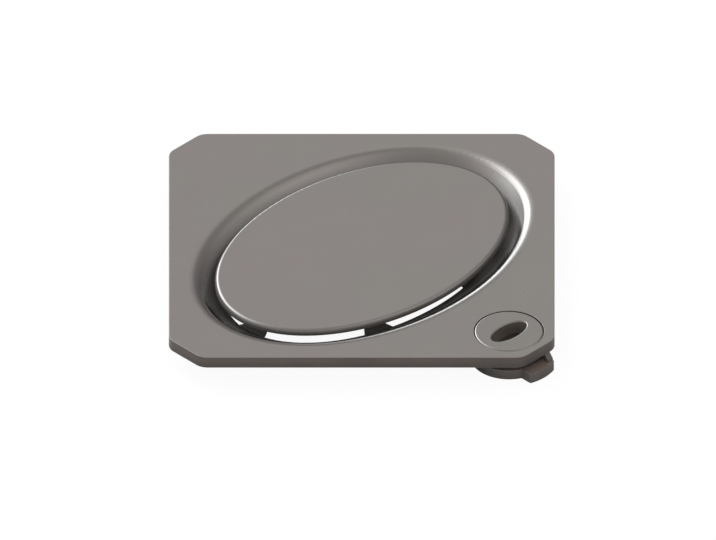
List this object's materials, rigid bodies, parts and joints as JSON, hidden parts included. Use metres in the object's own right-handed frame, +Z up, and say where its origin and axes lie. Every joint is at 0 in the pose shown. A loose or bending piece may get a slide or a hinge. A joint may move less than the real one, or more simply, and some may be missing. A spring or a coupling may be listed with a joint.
{
  "type": "drain cover",
  "caption": "Square steel floor drain cover with cut corners, a flush oval insert over a hidden funnel gap, and a slotted quarter-turn corner lock with a tongue.",
  "frame": {"origin": "under the middle of the plate, at the level of the lock cam's underside, the lowest face of the part", "axes": "+Z up out of the walking face; the lock is at the +X -Y corner, and the oval's long axis runs from the -X -Y corner to the +X +Y corner"},
  "size_m": [0.115, 0.115, 0.0095],
  "materials": {
    "plate_steel": "satin stainless steel",
    "insert_steel": "satin stainless steel",
    "bracket_steel": "plain stainless steel",
    "lock_steel": "satin stainless steel",
    "bush_plastic": "dull black plastic",
    "cam_metal": "dull cast steel",
    "screw_steel": "bright steel"
  },
  "bodies": {
    "cover": {"cover_plate": "plate_steel", "oval_insert": "insert_steel", "insert_bracket_1": "bracket_steel", "insert_bracket_2": "bracket_steel", "insert_bracket_3": "bracket_steel", "insert_bracket_4": "bracket_steel", "insert_bracket_5": "bracket_steel", "insert_bracket_6": "bracket_steel", "lock_bush": "bush_plastic"},
    "lock": {"lock_barrel": "lock_steel", "lock_cam": "cam_metal", "cam_screw": "screw_steel"}
  },
  "joints": [
    {"name": "lock_turn", "type": "hinge", "parent": "cover", "child": "lock", "pos_m": [0.0439, -0.0439, 0.0058], "axis": [0, 0, 1], "range_deg": [0, 90]}
  ]
}
